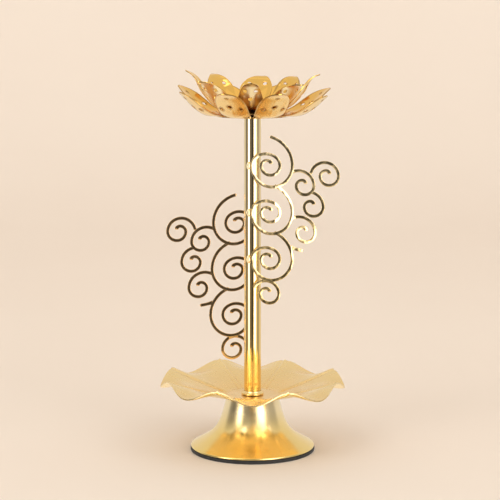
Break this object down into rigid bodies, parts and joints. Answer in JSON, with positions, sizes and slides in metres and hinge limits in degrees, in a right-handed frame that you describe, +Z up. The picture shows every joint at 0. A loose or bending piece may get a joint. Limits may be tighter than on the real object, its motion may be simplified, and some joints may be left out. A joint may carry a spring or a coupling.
{
  "type": "candle stand",
  "caption": "Tall lotus candle or lamp stand: bell foot on a rubber ring, leaf-shaped drip plate, tube stem with scroll panels, and a lotus cup of pierced petals.",
  "frame": {"origin": "centre of the foot ring's underside on the stem's axis, at the middle of the bounding box's base", "axes": "+Z up along the stem; -Y is the front, with one scroll panel in front of the stem reaching +X and its twin behind reaching -X"},
  "size_m": [0.1092, 0.1093, 0.2246],
  "materials": {
    "polished_gold": "bright gold plating, mirror polished",
    "satin_gold": "pale gold plating on stamped sheet, satin",
    "plated_steel": "zinc plated hardware",
    "solder": "plated over with the panels",
    "rubber": "matt black"
  },
  "bodies": {
    "stand": {"foot_ring": "rubber", "base_bell": "polished_gold", "stem_collar": "polished_gold", "stem_tube": "polished_gold", "scroll_panel_front": "polished_gold", "scroll_panel_rear": "polished_gold", "top_washer": "polished_gold", "leaf_plate": "satin_gold", "base_washer": "plated_steel", "base_spring_washer": "plated_steel", "base_nut": "plated_steel", "stem_top_bush": "plated_steel", "tie_rod": "plated_steel", "petal_spacer": "plated_steel", "top_nut": "plated_steel", "solder_front_upper": "solder", "solder_front_middle": "solder", "solder_front_lower": "solder", "solder_rear_upper": "solder", "solder_rear_middle": "solder", "solder_rear_lower": "solder"},
    "outer_lotus_layer": {"outer_petals": "satin_gold"},
    "inner_lotus_layer": {"inner_petals": "satin_gold"}
  },
  "joints": [
    {"name": "outer_layer_turn", "type": "hinge", "parent": "stand", "child": "outer_lotus_layer", "pos_m": [0, 0, 0.1984], "axis": [0, 0, 1], "continuous": true},
    {"name": "inner_layer_turn", "type": "hinge", "parent": "stand", "child": "inner_lotus_layer", "pos_m": [0, 0, 0.2008], "axis": [0, 0, 1], "continuous": true}
  ]
}
